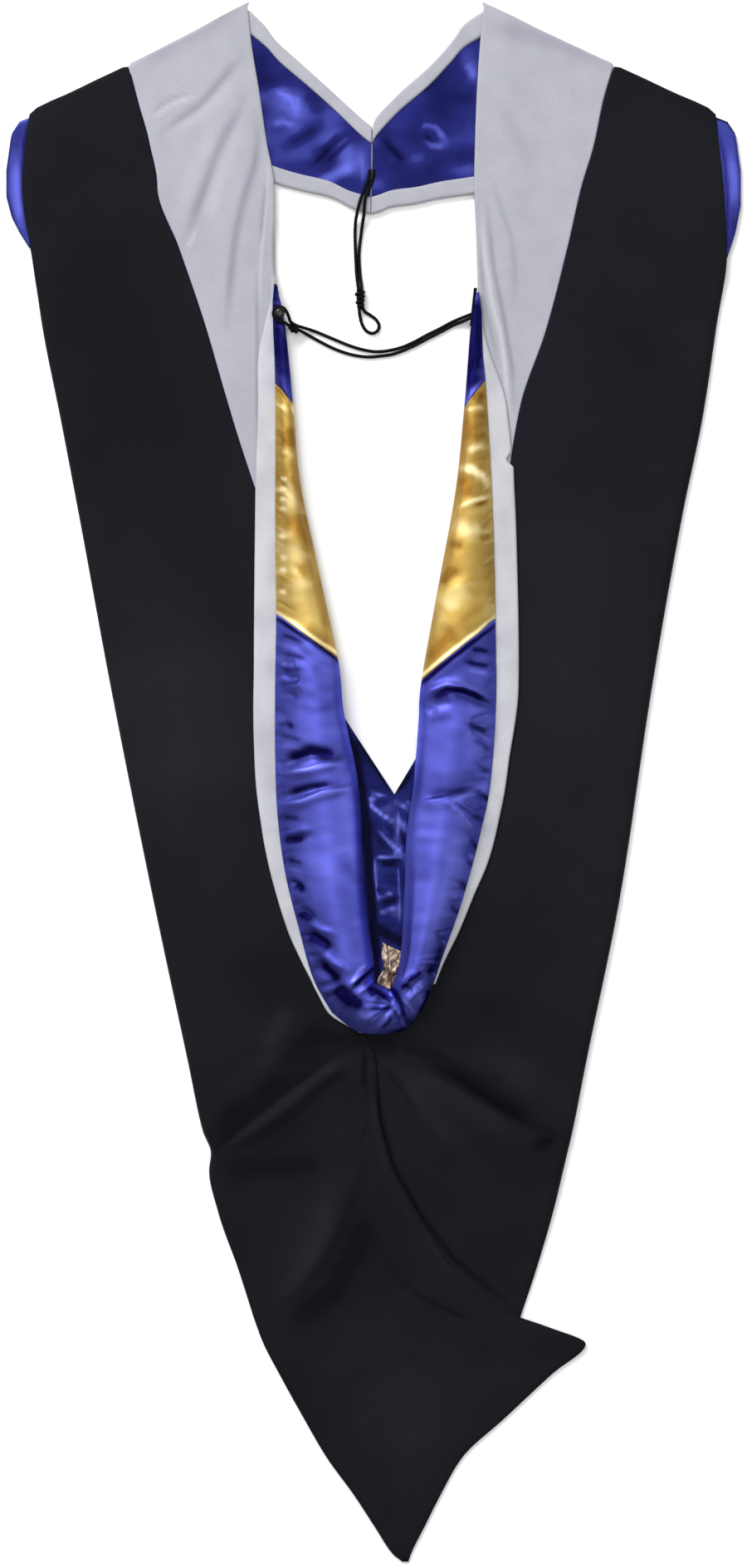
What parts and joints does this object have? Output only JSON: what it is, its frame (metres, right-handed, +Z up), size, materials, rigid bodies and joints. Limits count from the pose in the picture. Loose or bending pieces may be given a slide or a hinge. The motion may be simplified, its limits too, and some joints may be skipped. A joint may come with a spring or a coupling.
{
  "type": "academic hood",
  "caption": "Academic hood laid flat with its back up: black cloth with a pointed tail, pale velvet trim and neckband, and turned-out blue satin lining with a gold chevron and a button cord",
  "frame": {"origin": "on the floor, at the middle of the rectangle that the hood covers", "axes": "+Y along the hood from the tail to the neckband, +Z up from the floor to the back of the hood, +X to the right as seen from above"},
  "size_m": [0.503, 1.067, 0.0304],
  "materials": {
    "black_cloth": "matt",
    "pale_velvet": "velvet",
    "blue_satin": "satin",
    "navy_satin": "satin",
    "gold_satin": "satin",
    "tan_satin": "satin",
    "black_cord": "matt",
    "black_button": "satin"
  },
  "bodies": {
    "root": {"outer_shell_left": "black_cloth", "outer_shell_right": "black_cloth", "outer_lining_left": "navy_satin", "outer_lining_right": "navy_satin", "velvet_trim_left": "pale_velvet", "velvet_trim_right": "pale_velvet", "front_shell_left": "black_cloth", "front_velvet_left": "pale_velvet", "front_lining_left": "blue_satin", "front_shell_right": "black_cloth", "front_velvet_right": "pale_velvet", "front_lining_right": "blue_satin", "neckband_velvet_left": "pale_velvet", "neckband_lining_left": "blue_satin", "neckband_velvet_right": "pale_velvet", "neckband_lining_right": "blue_satin", "under_shell_left": "black_cloth", "under_shell_right": "black_cloth", "under_lining_left": "navy_satin", "under_lining_right": "navy_satin", "inner_chevron": "tan_satin", "edge_strip_left": "pale_velvet", "edge_strip_right": "pale_velvet", "upper_lining_left": "blue_satin", "chevron_left": "gold_satin", "lower_lining_left": "blue_satin", "upper_lining_right": "blue_satin", "chevron_right": "gold_satin", "lower_lining_right": "blue_satin", "gathered_lining": "blue_satin", "loop_cord_left": "black_cord", "loop_cord_right": "black_cord", "loop_cord_eye": "black_cord", "loop_cord_knot": "black_cord", "cross_cord_upper": "black_cord", "cross_cord_lower": "black_cord", "cross_cord_eye": "black_cord", "cross_cord_knot": "black_cord", "cord_button": "black_button", "cord_tab": "black_cord"}
  },
  "joints": []
}
